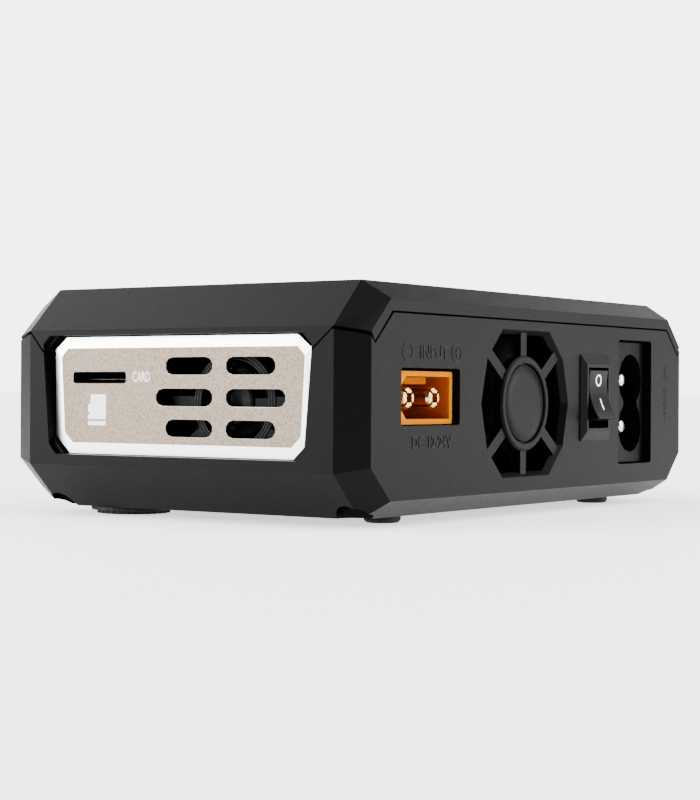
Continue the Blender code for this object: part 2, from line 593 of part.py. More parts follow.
# ---- top side ----------------------------------------------------------------
def build_display():
    w, d = SCREEN_W - 0.4, SCREEN_D - 0.4
    edge, inner = rect(SCREEN_X, 0, w, d), rect(SCREEN_X, 0, w - 0.4, d - 0.4)
    window = loft("z", [(SCREEN_STEP_Z + 0.05, edge), (SCREEN_TOP_Z - 0.2, edge), (SCREEN_TOP_Z, inner)])
    finish(window, "display_window", (0.01, 0.01, 0.012), 0.08)
    finish(prism("z", rect(SCREEN_X, 0, 53.2, 39.2), 11.2, 15.3), "display_module", (0.2, 0.21, 0.24), 0.4)


def build_scroll_wheel():
    x, y, z, half = WHEEL_X, WHEEL_Y, WHEEL_Z, WHEEL_W / 2
    narrow = toothed(y, z, WHEEL_R - 0.5, 0.35, WHEEL_TEETH)
    full = toothed(y, z, WHEEL_R, 0.35, WHEEL_TEETH)
    wheel = loft("x", [(x - half, narrow), (x - half + 0.5, full), (x + half - 0.5, full), (x + half, narrow)])
    fuse(wheel, turned("x", y, z, [(x - half - 1.6, 1.0), (x + half + 1.6, 1.0)], 16))
    finish(wheel, "scroll_wheel", GREY, 0.6, origin=(x, y, z))
    floor = MAIN_BOARD_Z1 + 0.05
    bracket = box(x - 4.9, x + 4.9, y - 3.0, y + 3.0, floor, 15.2)
    cut(bracket, box(x - 3.5, x + 3.5, y - 4.0, y + 4.0, floor + 0.6, 16.0))
    cut(bracket, turned("x", y, z, [(x - 6, 1.2), (x + 6, 1.2)], 16))
    finish(bracket, "wheel_bracket", STEEL, 0.35, 1.0)


def build_back_button():
    x, y, r, top = KEY_X, KEY_Y, KEY_R, KEY_TOP_Z
    key = turned("z", x, y, [(10.9, 1.5), (14.55, 1.5), (14.57, r + 1), (15.4, r + 1),
                             (15.42, r), (top - 0.3, r), (top, r - 0.4)], 24)
    finish(key, "back_button", GREY, 0.5, origin=(x, y, top))
    tact = box(x - 3, x + 3, y - 3, y + 3, MAIN_BOARD_Z1 + 0.05, 9.8)
    fuse(tact, turned("z", x, y, [(9.0, 1.7), (10.3, 1.7)], 16))
    finish(tact, "tact_switch", BLACK, 0.4)


# ---- boards and their parts --------------------------------------------------
def build_boards():
    outline = [(-43.5, -31), (40.5, -31), (40.5, -24.6), (49.4, -24.6), (49.4, -8.0), (40.5, -8.0),
               (40.5, 14), (-43.5, 14)]
    main = prism("z", outline, MAIN_BOARD_Z0, MAIN_BOARD_Z1)
    cut(main, *posts(POST_R + 0.05, 4, 8))
    finish(main, "main_board", GREEN, 0.5)
    finish(box(-42.3, 40.5, -31, 17, POWER_BOARD_Z0, POWER_BOARD_Z1), "power_board", GREEN, 0.5)
    socket = box(37.0, 49.5, CARD_Y - 6.5, CARD_Y + 6.5, 2.0, MAIN_BOARD_Z0 - 0.1)
    cut(socket, box(38.0, 50.5, CARD_Y - 5.7, CARD_Y + 5.7, CARD_Z - 0.8, CARD_Z + 0.8))
    finish(socket, "card_socket", STEEL, 0.3, 1.0)


def build_board_parts():
    core = box(-40.0, -16.0, -14.0, 8.0, PART_Z0, 4.0)
    cut(core, *[box(-36.5, -19.5, -15.0, 9.0, z, z + 3.3) for z in (-8.5, -2.6)])
    fuse(core, box(-35.5, -20.5, -13.0, 7.0, -9.5, 1.8))
    finish(core, "transformer", (0.1, 0.1, 0.1), 0.6)
    for k, y in ((1, 8.0), (2, -4.0)):
        can = turned("z", -8.0, y, [(PART_Z0, 4.9), (-10.6, 4.9), (-10.2, 4.6), (-9.8, 4.9),
                                    (3.3, 4.9), (3.7, 4.5)])
        cut(can, box(-11.2, -4.8, y - 0.15, y + 0.15, 3.4, 4.5))
        finish(can, "capacitor_%d" % k, (0.05, 0.05, 0.06), 0.4)
    ring = turned("z", 8.0, -8.0, [(PART_Z0, 7.6), (-10.9, 8.2), (-4.1, 8.2), (-3.5, 7.6)])
    cut(ring, turned("z", 8.0, -8.0, [(-12.5, 4.0), (-2.5, 4.0)], 20))
    finish(ring, "inductor", (0.5, 0.22, 0.08), 0.4)
    sink = box(20.0, 38.0, -6.0, 12.0, PART_Z0, 3.4)
    cut(sink, *[box(a, a + 1.8, -7.0, 13.0, -8.6, 4.5) for a in (21.4, 24.6, 27.8, 31.0, 34.2)])
    finish(sink, "heatsink", (0.45, 0.45, 0.47), 0.35, 1.0)


clear_scene()
build_bottom_shell()
build_top_shell()
build_end_plates()
build_feet()
build_screws()
build_fan("fan_1", "y", GRILLE_X, GRILLE_Z, FAN1_SIZE, FAN1_Y0, FAN1_Y1, 13.9, 7.6)
build_fan("fan_2", "x", FAN2_Y, FAN2_Z, FAN2_SIZE, FAN2_X0, FAN2_X1, 11.8, 6.2)
build_dc_input()
build_ac_inlet()
build_switch()
build_output()
build_balance_header()
build_usb()
build_display()
build_scroll_wheel()
build_back_button()
build_boards()
build_board_parts()
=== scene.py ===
import json
import math
import bpy
import bmesh
from mathutils import Matrix, Vector


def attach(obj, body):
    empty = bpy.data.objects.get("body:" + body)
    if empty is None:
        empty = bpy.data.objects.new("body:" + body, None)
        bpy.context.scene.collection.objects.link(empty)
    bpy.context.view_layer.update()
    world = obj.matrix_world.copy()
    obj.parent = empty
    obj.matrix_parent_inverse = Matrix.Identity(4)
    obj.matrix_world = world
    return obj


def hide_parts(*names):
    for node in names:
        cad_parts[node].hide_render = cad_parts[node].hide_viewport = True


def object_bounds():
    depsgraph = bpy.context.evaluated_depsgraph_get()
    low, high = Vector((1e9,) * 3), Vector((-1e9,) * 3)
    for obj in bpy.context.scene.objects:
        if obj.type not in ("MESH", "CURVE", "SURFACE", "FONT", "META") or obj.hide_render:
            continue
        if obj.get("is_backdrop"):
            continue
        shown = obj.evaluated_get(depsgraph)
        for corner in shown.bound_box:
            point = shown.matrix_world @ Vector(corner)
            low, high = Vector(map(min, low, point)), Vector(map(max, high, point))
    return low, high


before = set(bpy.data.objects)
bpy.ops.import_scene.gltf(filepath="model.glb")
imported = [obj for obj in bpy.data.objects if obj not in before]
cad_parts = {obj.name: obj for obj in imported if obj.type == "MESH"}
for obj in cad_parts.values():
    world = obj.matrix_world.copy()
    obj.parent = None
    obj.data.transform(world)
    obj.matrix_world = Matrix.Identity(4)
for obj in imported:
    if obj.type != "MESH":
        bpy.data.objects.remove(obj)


def plain(bounds):
    return json.loads(json.dumps(bounds, default=list))


size_at_load = plain(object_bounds())

# Lengths are in mm and places are counted from the case's middle, unless a comment or a name says metres.
MM = 0.001
LIFT = 19.05              # height of the case's middle above the ground
SIDE_Y = 35.0             # flat faces of the input side (+) and the battery side (-)
PLATE_X = 53.5            # face of the end plate at the card end
GRILLE = (6.7, 0.0, -0.6) # point on the axis of the input side's fan grille
HUB_Y, HUB_Z = 9.0, -0.6  # axis of the fan behind the card end


# ---- materials ---------------------------------------------------------------
class Graph:
    """Small helper around the node tree of one material or of the world."""

    def __init__(self, block, shader="Principled BSDF"):
        block.use_nodes = True
        self.block = block
        self.tree = block.node_tree
        self.shader = self.tree.nodes[shader]

    def node(self, kind, **values):
        n = self.tree.nodes.new(kind)
        for key, value in values.items():
            setattr(n, key, value)
        return n

    def link(self, a, b):
        self.tree.links.new(a, b)

    def put(self, **values):
        for key, value in values.items():
            self.shader.inputs[key.replace("_", " ")].default_value = value

    def object_point(self, scale=(1, 1, 1)):
        coord = self.node("ShaderNodeTexCoord")
        mapping = self.node("ShaderNodeMapping")
        mapping.inputs["Scale"].default_value = scale
        self.link(coord.outputs["Object"], mapping.inputs["Vector"])
        return mapping.outputs["Vector"]

    def noise(self, scale, detail=2.0, rough=0.5, stretch=(1, 1, 1)):
        n = self.node("ShaderNodeTexNoise")
        n.inputs["Scale"].default_value = scale
        n.inputs["Detail"].default_value = detail
        n.inputs["Roughness"].default_value = rough
        self.link(self.object_point(stretch), n.inputs["Vector"])
        return n.outputs["Fac"]

    def span(self, value, low, high, a=0.3, b=0.7):
        """Maps a..b to low..high; a noise mostly stays between 0.3 and 0.7."""
        n = self.node("ShaderNodeMapRange")
        n.inputs["From Min"].default_value = a
        n.inputs["From Max"].default_value = b
        n.inputs["To Min"].default_value = low
        n.inputs["To Max"].default_value = high
        self.link(value, n.inputs["Value"])
        return n.outputs["Result"]

    def mix(self, factor, a, b):
        """Blends two colours, each a plain tuple or the output of another node."""
        n = self.node("ShaderNodeMix", data_type="RGBA")
        for socket, colour in (("A", a), ("B", b)):
            if isinstance(colour, tuple):
                n.inputs[socket].default_value = (*colour, 1)
            else:
                self.link(colour, n.inputs[socket])
        self.link(factor, n.inputs["Factor"])
        return n.outputs["Result"]

    def magnitude(self, vector, axis):
        """Size of one component of a vector, whatever its sign."""
        split = self.node("ShaderNodeSeparateXYZ")
        self.link(vector, split.inputs["Vector"])
        size = self.node("ShaderNodeMath", operation="ABSOLUTE")
        self.link(split.outputs[axis], size.inputs[0])
        return size.outputs[0]

    def colour(self, output):
        self.link(output, self.shader.inputs["Base Color"])

    def roughness(self, output):
        self.link(output, self.shader.inputs["Roughness"])

    def bump(self, height, metres, strength=1.0):
        n = self.node("ShaderNodeBump")
        n.inputs["Strength"].default_value = strength
        n.inputs["Distance"].default_value = metres
        self.link(height, n.inputs["Height"])
        self.link(n.outputs["Normal"], self.shader.inputs["Normal"])


def new_material(name):
    return Graph(bpy.data.materials.new(name))


def plastic(name, dark, light, rough, specular, grain, depth):
    """Moulded plastic: slow colour and gloss drift under a fine spark-eroded grain."""
    g = new_material(name)
    drift = g.noise(45.0, 3.0)
    fine = g.noise(grain, 2.0, 0.6)
    g.colour(g.mix(g.span(drift, 0.0, 1.0), dark, light))
    g.roughness(g.span(fine, rough - 0.05, rough + 0.07))
    g.put(Specular_IOR_Level=specular)
    g.bump(fine, depth)
    return g.block


def metal(name, colour, rough, grain=3000.0, depth=0.00001, stretch=(1, 1, 1)):
    g = new_material(name)
    fine = g.noise(grain, 2.0, 0.5, stretch)
    shade = tuple(c * 0.86 for c in colour)
    g.colour(g.mix(g.span(g.noise(120.0, 3.0), 0.0, 1.0), shade, colour))
    g.roughness(g.span(fine, rough - 0.06, rough + 0.06))
    g.put(Metallic=1.0)
    g.bump(fine, depth)
    return g.block


def champagne_plate(name):
    """Sandblasted field, bright sloping border, and painted shade on the sides of the slots: told apart by
    the face's normal along X.
    """
    g = new_material(name)
    facing = g.magnitude(g.node("ShaderNodeNewGeometry").outputs["True Normal"], "X")
    flat = g.span(facing, 0.0, 1.0, 0.9993, 0.9998)
    shaded_wall = g.span(facing, 1.0, 0.0, 0.9, 0.985)
    fine = g.noise(3800.0, 2.0, 0.7)
    field = g.mix(g.span(fine, 0.0, 1.0, 0.36, 0.64), (0.122, 0.093, 0.070), (0.235, 0.187, 0.149))
    front = g.mix(flat, (0.93, 0.9, 0.87), field)
    # faces turned away from X get a dark champagne: painted shade on the sides of the slots
    g.colour(g.mix(shaded_wall, front, (0.05, 0.03, 0.022)))
    g.roughness(g.span(flat, 0.3, 0.5, 0.0, 1.0))
    g.put(Metallic=1.0)
    g.bump(fine, 0.000012, 0.6)
    return g.block


def amber_nylon(name):
    """Amber nylon where it stands out of the case; deeper in, a redder and darker colour is painted shade.
    """
    g = new_material(name)
    outwards = g.span(g.magnitude(g.object_point(), "Y"), 0.0, 1.0, 0.0333, 0.0337)
    surface = g.mix(g.span(g.noise(160.0, 3.0), 0.0, 1.0), (0.42, 0.135, 0.0), (0.48, 0.155, 0.0))
    # less than 33.3 mm out from the middle the colour is painted shade inside the housing
    g.colour(g.mix(outwards, (0.33, 0.052, 0.0), surface))
    g.put(Roughness=0.35, Specular_IOR_Level=0.0)
    g.bump(g.noise(2600.0), 0.00001)
    return g.block


def rubber(name):
    g = new_material(name)
    g.colour(g.mix(g.span(g.noise(300.0, 4.0), 0.0, 1.0), (0.0025, 0.0025, 0.0025), (0.005, 0.005, 0.005)))
    g.roughness(g.span(g.noise(2200.0), 0.6, 0.85))
    g.put(Specular_IOR_Level=0.25)
    g.bump(g.noise(1800.0, 3.0), 0.00003)
    return g.block


def board(name):
    g = new_material(name)
    mask = g.span(g.noise(420.0, 1.0, 0.3), 0.0, 1.0, 0.47, 0.5)
    g.colour(g.mix(mask, (0.004, 0.045, 0.018), (0.008, 0.085, 0.034)))
    g.put(Roughness=0.35)
    g.bump(mask, 0.00003)
    return g.block


def glass_black(name, tone, rough):
    g = new_material(name)
    shades = (tone, tone, tone * 1.2), (tone * 1.6, tone * 1.6, tone * 2.0)
    g.colour(g.mix(g.span(g.noise(30.0), 0.0, 1.0), *shades))
    g.roughness(g.span(g.noise(900.0, 2.0), rough, rough + 0.04))
    g.put(Specular_IOR_Level=0.12)
    return g.block


# name, darkest and lightest colour, roughness, specular level, grain, grain depth in metres
CASE = plastic("case_plastic", (0.0010, 0.0010, 0.0015), (0.0013, 0.0013, 0.0019),
               0.38, 0.05, 3600.0, 0.00003)
# raised marks: the case's black made a little lighter, a painted highlight on their relief
LIT_MARK = plastic("raised_marks_painted_highlight", (0.0040, 0.0040, 0.0046), (0.0050, 0.0050, 0.0056),
               0.38, 0.06, 3000.0, 0.00001)
DARK = plastic("dark_plastic", (0.0018, 0.0018, 0.0018), (0.0026, 0.0026, 0.0026),
               0.36, 0.08, 2600.0, 0.000008)
SATIN = plastic("satin_plastic", (0.0010, 0.0010, 0.0014), (0.0013, 0.0013, 0.0018),
                0.34, 0.065, 2600.0, 0.000006)
PRINT = plastic("white_print", (0.94, 0.94, 0.94), (0.97, 0.97, 0.97), 0.5, 0.5, 3000.0, 0.000004)
JET = plastic("jet_plastic", (0.0010, 0.0010, 0.0010), (0.0016, 0.0016, 0.0016), 0.4, 0.04, 2600.0, 0.000008)
IVORY = plastic("ivory_nylon", (0.2, 0.18, 0.14), (0.24, 0.22, 0.18), 0.45, 0.3, 2400.0, 0.00001)
HUB_GREY = plastic("hub_grey", (0.012, 0.012, 0.013), (0.017, 0.017, 0.018), 0.4, 0.15, 2600.0, 0.000008)
BLUE = plastic("blue_plastic", (0.004, 0.014, 0.09), (0.006, 0.02, 0.12), 0.4, 0.3, 2400.0, 0.00001)
PLATE = champagne_plate("champagne_plate")
AMBER = amber_nylon("amber_nylon")
# darker amber of the rib inside the DC input: painted shade
AMBER_RIB_SHADED = plastic("amber_rib_painted_shade", (0.22, 0.052, 0.0), (0.26, 0.062, 0.0), 0.4, 0.0, 2600.0, 0.00001)
GOLD = metal("gold_contact", (0.80, 0.52, 0.2), 0.2)
NICKEL = metal("nickel_contact", (0.72, 0.7, 0.66), 0.18)
# card springs: steel darkened far below its own colour, painted shade of the card slot
SHADED_STEEL = metal("steel_painted_shade", (0.09, 0.075, 0.07), 0.35, 2200.0)
STEEL = metal("plated_steel", (0.32, 0.32, 0.33), 0.3, 2200.0, stretch=(1, 6, 1))
COPPER = metal("winding_copper", (0.5, 0.18, 0.06), 0.3, 1400.0, 0.00006, (1, 1, 0.1))
RUBBER = rubber("foot_rubber")
BOARD = board("solder_mask")
GLASS = glass_black("screen_glass", 0.0025, 0.05)
PANEL = glass_black("screen_panel", 0.009, 0.12)

# node: (material, rounded edge); the balance pins take the default
DRESS = {
    "top_shell": (CASE, 0.16),
    "bottom_shell": (CASE, 0.16),
    "end_plate_right": (PLATE, 0.05),
    "end_plate_left": (PLATE, 0.05),
    "fan_1_frame": (JET, 0.2),
    "fan_2_frame": (JET, 0.2),
    "fan_1_rotor": (JET, 0.15),
    "fan_2_rotor": (JET, 0.15),
    "dc_input_housing": (AMBER, 0.18),
    "output_housing": (AMBER, 0.2),
    "dc_input_pin_1": (GOLD, 0.08),
    "dc_input_pin_2": (GOLD, 0.08),
    "output_socket_1": (GOLD, 0.08),
    "output_socket_2": (GOLD, 0.08),
    "ac_inlet_housing": (JET, 0.25),
    "ac_inlet_pin_1": (NICKEL, 0.1),
    "ac_inlet_pin_2": (NICKEL, 0.1),
    "switch_housing": (SATIN, 0.12),
    "switch_rocker": (SATIN, 0.2),
    "switch_terminal_1": (NICKEL, 0.1),
    "switch_terminal_2": (NICKEL, 0.1),
    "balance_header": (IVORY, 0.12),
    "usb_shell": (STEEL, 0.1),
    "usb_tongue": (BLUE, 0.15),
    "card_socket": (DARK, 0.08),
    "wheel_bracket": (STEEL, 0.1),
    "display_window": (GLASS, 0.1),
    "display_module": (DARK, 0.2),
    "scroll_wheel": (SATIN, 0.08),
    "back_button": (SATIN, 0.15),
    "tact_switch": (DARK, 0.1),
    "main_board": (BOARD, 0.05),
    "power_board": (BOARD, 0.05),
    "transformer": (DARK, 0.3),
    "capacitor_1": (DARK, 0.2),
    "capacitor_2": (DARK, 0.2),
    "inductor": (COPPER, 0.2),
    "heatsink": (STEEL, 0.15),
}
DEFAULT_DRESS = (NICKEL, 0.06)
PREFIX_DRESS = {"foot_": (RUBBER, 0.15), "screw_": (STEEL, 0.1)}


def round_edges(obj, width, segments=2, angle=30, harden=False):
    bevel = obj.modifiers.new("edges", "BEVEL")
    bevel.width = width * MM
    bevel.segments = segments
    bevel.limit_method = "ANGLE"
    bevel.angle_limit = math.radians(angle)
    bevel.harden_normals = harden


def dress(obj, material, edge):
    """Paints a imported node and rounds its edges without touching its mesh."""
    obj.data.materials.clear()
    obj.data.materials.append(material)
    weld = obj.modifiers.new("weld", "WELD")
    weld.merge_threshold = 1e-6
    flatten = obj.modifiers.new("flatten", "DECIMATE")
    flatten.decimate_type = "DISSOLVE"
    flatten.angle_limit = math.radians(0.5)
    round_edges(obj, edge, angle=24, harden=True)


for name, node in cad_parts.items():
    look = DRESS.get(name, DEFAULT_DRESS)
    for prefix, prefix_look in PREFIX_DRESS.items():
        if name.startswith(prefix):
            look = prefix_look
    dress(node, *look)


# ---- drawing helpers ---------------------------------------------------------
def piece(name, mesh, material, body="case"):
    """Adds a mesh, already in metres, as a piece that rides on a body."""
    obj = bpy.data.objects.new(name, mesh)
    bpy.context.scene.collection.objects.link(obj)
    obj.data.materials.clear()
    obj.data.materials.append(material)
    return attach(obj, body)


def on_face(face, x, y, z):
    """Places a flat drawing (its own X right, Y up, Z out) on a face, seen from outside."""
    n, u = Vector(face[0]), Vector(face[1])
    m = Matrix((u.cross(n), u, n)).transposed().to_4x4()
    m.translation = Vector((x, y, z + LIFT)) * MM
    return m


def outline_mesh(loops, depth):
    """Slab made from flat loops (outer first, holes after), centred on the drawing's plane."""
    curve = bpy.data.curves.new("outline", "CURVE")
    curve.dimensions = "2D"
    curve.fill_mode = "BOTH"
    curve.extrude = depth / 2
    for loop in loops:
        spline = curve.splines.new("POLY")
        spline.points.add(len(loop) - 1)
        for point, (u, v) in zip(spline.points, loop):
            point.co = (u, v, 0, 1)
        spline.use_cyclic_u = True
    return from_curve(curve)


def from_curve(curve):
    """Mesh of a curve or text, made through an object that is deleted again."""
    holder = bpy.data.objects.new("holder", curve)
    bpy.context.scene.collection.objects.link(holder)
    bpy.context.view_layer.update()
    mesh = bpy.data.meshes.new_from_object(holder.evaluated_get(bpy.context.evaluated_depsgraph_get()))
    bpy.data.objects.remove(holder, do_unlink=True)
    return mesh


CAPITAL = 0.7                 # height of a capital over the font's size


def words(text, height, depth, stretch=1.0, weight=0.0):
    curve = bpy.data.curves.new("words", "FONT")
    curve.body = text
    curve.size = height / CAPITAL
    curve.align_x = "CENTER"
    curve.align_y = "CENTER"
    curve.extrude = depth / 2
    curve.offset = weight
    curve.resolution_u = 3
    mesh = from_curve(curve)
    mesh.transform(Matrix.Diagonal((stretch, 1, 1, 1)))
    return mesh


def lay(mesh, place):
    """Takes a drawing in mm to its place in metres."""
    mesh.transform(place @ Matrix.Scale(MM, 4))
    return mesh


def ring(r, n=32):
    return [(r * math.cos(2 * math.pi * i / n), r * math.sin(2 * math.pi * i / n)) for i in range(n)]


def bar(w, h, u=0.0, v=0.0):
    return [(u - w / 2, v - h / 2), (u + w / 2, v - h / 2), (u + w / 2, v + h / 2), (u - w / 2, v + h / 2)]


def closed(bm, mesh):
    """Turns all faces outwards and writes the work mesh back."""
    bmesh.ops.recalc_face_normals(bm, faces=bm.faces)
    bm.to_mesh(mesh)
    bm.free()
    return mesh


def block(x0, x1, y0, y1, z0, z1):
    """Box between two corners, with its mesh already in metres."""
    verts = [Vector((x, y, z + LIFT)) * MM for x in (x0, x1) for y in (y0, y1) for z in (z0, z1)]
    faces = [(0, 1, 3, 2), (4, 6, 7, 5), (0, 4, 5, 1), (2, 3, 7, 6), (0, 2, 6, 4), (1, 5, 7, 3)]
    mesh = bpy.data.meshes.new("block")
    mesh.from_pydata(verts, [], faces)
    return mesh


def lathe(profile, steps=48):
    """Turned along the drawing's own Z from (radius, height) pairs; starts and ends on the axis."""
    mesh = bpy.data.meshes.new("lathe")
    bm = bmesh.new()
    angles = [2 * math.pi * i / steps for i in range(steps)]
    rows = [[bm.verts.new((r * math.cos(a), r * math.sin(a), h)) for a in angles] for r, h in profile[1:-1]]
    first, last = bm.verts.new((0, 0, profile[0][1])), bm.verts.new((0, 0, profile[-1][1]))
    for i in range(steps):
        j = (i + 1) % steps
        bm.faces.new((first, rows[0][j], rows[0][i]))
        bm.faces.new((last, rows[-1][i], rows[-1][j]))
        for a, b in zip(rows, rows[1:]):
            bm.faces.new((a[i], a[j], b[j], b[i]))
    return closed(bm, mesh)


def hoop(radius, section, steps=64, around=8):
    """Thin torus in the drawing's own plane."""
    mesh = bpy.data.meshes.new("hoop")
    bm = bmesh.new()
    rows = []
    for i in range(steps):
        a = 2 * math.pi * i / steps
        row = []
        for k in range(around):
            b = 2 * math.pi * k / around
            r = radius + section * math.cos(b)
            row.append(bm.verts.new((r * math.cos(a), r * math.sin(a), section * math.sin(b))))
        rows.append(row)
    for i in range(steps):
        here, ahead = rows[i], rows[(i + 1) % steps]
        for k in range(around):
            m = (k + 1) % around
            bm.faces.new((here[k], ahead[k], ahead[m], here[m]))
    return closed(bm, mesh)


# outward normal and up direction of each face that gets a drawing
INPUT_SIDE = ((0, 1, 0), (0, 0, 1))
INPUT_SIDE_TURNED = ((0, 1, 0), (-1, 0, 0))
BATTERY_SIDE = ((0, -1, 0), (0, 0, 1))
CARD_END = ((1, 0, 0), (0, 0, 1))
TOP = ((0, 0, 1), (0, 1, 0))


# ---- raised marks (lightened: painted highlight) and printed marks -----------
LINE, RIM = 0.24, 0.25        # widths of a sign's arms and of its ring
STEP = 0.02                   # the second arm is this much thicker, so that the two never share a face


def sign(name, place, radius, arm, depth, crossed):
    """Plus or minus inside a ring."""
    piece(name + "_ring", lay(outline_mesh([ring(radius), ring(radius - RIM)], depth), place), LIT_MARK)
    arms = [bar(arm, LINE), bar(LINE, arm)] if crossed else [bar(arm, LINE)]
    for k, shape in enumerate(arms):
        piece("%s_bar_%d" % (name, k), lay(outline_mesh([shape], depth + STEP * k), place), LIT_MARK)


# input side
for name, x, crossed in (("minus_mark", 42.6, False), ("plus_mark", 28.7, True)):
    sign(name, on_face(INPUT_SIDE, x, SIDE_Y, 7.2), 1.45, 1.5, 0.16, crossed)
for name, text, x, z, height, stretch in (("input_word", "INPUT", 35.25, 7.1, 2.0, 0.98),
                                          ("rating_word", "DC 12-24V", 35.8, -6.5, 1.75, 0.97)):
    piece(name, lay(words(text, height, 0.2, stretch, 0.03), on_face(INPUT_SIDE, x, SIDE_Y, z)), LIT_MARK)
place = on_face(INPUT_SIDE_TURNED, -46.2, SIDE_Y, 1.0)
piece("mains_word", lay(words("AC 100-240V", 1.3, 0.12), place), LIT_MARK)

# end plate at the card end
INK = 0.05                    # thickness of a print
piece("card_word", lay(words("CARD", 1.55, INK, 0.6, 0.02), on_face(CARD_END, PLATE_X, -7.7, 3.25)), PRINT)
card = [(-2.02, -1.49), (2.02, -1.49), (2.02, 2.46), (-1.47, 2.46), (-1.47, 1.1), (-2.02, 0.81),
        (-2.02, -0.24), (-1.75, -0.4), (-1.75, -0.7), (-2.02, -0.84)]
card_place = on_face(CARD_END, PLATE_X, -16.95, -1.95) @ Matrix.Diagonal((0.93, 1, 1, 1))
piece("card_mark", lay(outline_mesh([card], INK), card_place), PRINT)
piece("card_mark_foot", lay(outline_mesh([bar(4.04, 0.67, 0.0, -2.125)], INK), card_place), PRINT)


# ---- rocker with its two marks -----------------------------------------------
ROCKER_AT = Vector((-17.2, 34.0, 0.35 + LIFT))
ROCKER_HALF_W, ROCKER_HALF_H = 3.45, 4.3
ARC_R, ARC_U = 10.72, 12.92   # radius of the hollow front, and how far out its centre lies
TILT = math.radians(12)       # the rocker rests with its upper half pressed in


def tilted(w, u, v):
    """Point in metres from w across, u outwards and v up on the upright rocker."""
    turned = Vector((w, u * math.cos(TILT) - v * math.sin(TILT), u * math.sin(TILT) + v * math.cos(TILT)))
    return (ROCKER_AT + turned) * MM


def on_rocker(w, s, up):
    """Point on the rocker's hollow face: w across, s along the arc, up out of it."""
    r, t = ARC_R - up, s / ARC_R
    return tilted(w, ARC_U - r * math.cos(t), r * math.sin(t))


def rocker_body(steps=20):
    reach = ARC_R * math.asin(ROCKER_HALF_H / ARC_R)
    front = [on_rocker(0, -reach + 2 * reach * i / steps, 0) for i in range(steps + 1)]
    back = [(-0.6, ROCKER_HALF_H), (-2.6, 1.5), (-2.6, -1.5), (-0.6, -ROCKER_HALF_H)]
    outline = front + [tilted(0, u, v) for u, v in back]
    n = len(outline)
    verts = [p + Vector((w * MM, 0, 0)) for w in (-ROCKER_HALF_W, ROCKER_HALF_W) for p in outline]
    ends = [tuple(range(n)), tuple(range(n, 2 * n))]
    sides = [(i, (i + 1) % n, n + (i + 1) % n, n + i) for i in range(n)]
    mesh = bpy.data.meshes.new("rocker_body")
    mesh.from_pydata(verts, [], ends + sides)
    bm = bmesh.new()
    bm.from_mesh(mesh)
    return closed(bm, mesh)


def rocker_mark(name, loops, s):
    """Prints a flat shape on the hollow face, its middle s along the arc."""
    mark = outline_mesh(loops, 0.06)
    for vert in mark.vertices:
        vert.co = on_rocker(-vert.co.x, s + vert.co.y, vert.co.z)
    piece(name, mark, PRINT, "rocker")


rocker = piece("rocker_cap", rocker_body(), SATIN, "rocker")
rocker.data.shade_smooth()
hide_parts("switch_rocker")
round_edges(rocker, 0.25, 3, harden=True)
rocker_mark("off_mark_0", [ring(1.05), ring(0.76)], 2.6)
STROKE = 0.52                 # the "on" stroke is four short bars, so that it bends with the face
for k in range(4):
    rocker_mark("on_mark_%d" % k, [bar(0.36, STROKE, 0, STROKE * (k - 1.5))], -1.67)


# ---- details of the input side -----------------------------------------------
# guide rib inside the DC input, in a darker amber that is painted shade
rib = piece("dc_input_rib", block(35.0, 41.2, 30.8, 33.4, 2.35, 3.5), AMBER_RIB_SHADED)
round_edges(rib, 0.15)

# domed disc in the sunk face of the grille hub
dome = [(0, 34.1), (6.3, 34.1), (6.3, 34.66), (6.2, 34.74), (4.6, 34.8), (2.2, 34.84), (0, 34.85)]
disc = piece("grille_disc", lay(lathe(dome), on_face(INPUT_SIDE, *GRILLE)), CASE)
disc.data.shade_smooth()

# rounded pins of the mains inlet
pin_profile = [(0, 14.0), (1.2, 14.0), (1.2, 31.6), (1.13, 31.8), (0.95, 31.95), (0.6, 32.04), (0, 32.06)]
for k, z in ((1, 3.6), (2, -4.9)):
    place = on_face(INPUT_SIDE, -34.6, 0.0, z)
    pin = piece("mains_pin_%d" % k, lay(lathe(pin_profile, 24), place), NICKEL)
    pin.data.shade_smooth()
    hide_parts("ac_inlet_pin_%d" % k)


# ---- fan rotors with thin curved blades --------------------------------------
BLADES = 7
BLADE_HALF_THICK = 0.24
FAN_DEPTH = 8.0


def blade_point(turn, r, c, reach, z0, z1, side):
    """Point of a swept, cambered blade: c runs along its chord, reach from hub (0) to tip (1)."""
    chord, sweep = 4.4 + 2.2 * reach, 2.4 * reach
    camber = 0.7 * math.sin(math.pi * c) * (0.6 + 0.4 * reach)
    angle = turn + (chord * (c - 0.5) + sweep) / r
    height = z0 + (z1 - z0) * (1 - c) + camber + BLADE_HALF_THICK * side
    return (r * math.cos(angle), r * math.sin(angle), height)


def add_blade(bm, turn, root_r, tip_r, z0, z1, radial=5, along=8):
    """Closed shell over a grid of points: two broad faces, the chord's two edges, root and tip."""
    grid = {}
    for i in range(radial + 1):
        reach = i / radial
        r = root_r + (tip_r - root_r) * reach
        for j in range(along + 1):
            for side in (-1, 1):
                grid[i, j, side] = bm.verts.new(blade_point(turn, r, j / along, reach, z0, z1, side))
    for side in (-1, 1):
        for i in range(radial):
            for j in range(along):
                bm.faces.new([grid[i + a, j + b, side] for a, b in ((0, 0), (1, 0), (1, 1), (0, 1))])
    for i in range(radial):
        for j in (0, along):
            bm.faces.new([grid[i + a, j, side] for a, side in ((0, -1), (1, -1), (1, 1), (0, 1))])
    for j in range(along):
        for i in (0, radial):
            bm.faces.new([grid[i, j + b, side] for b, side in ((0, -1), (1, -1), (1, 1), (0, 1))])


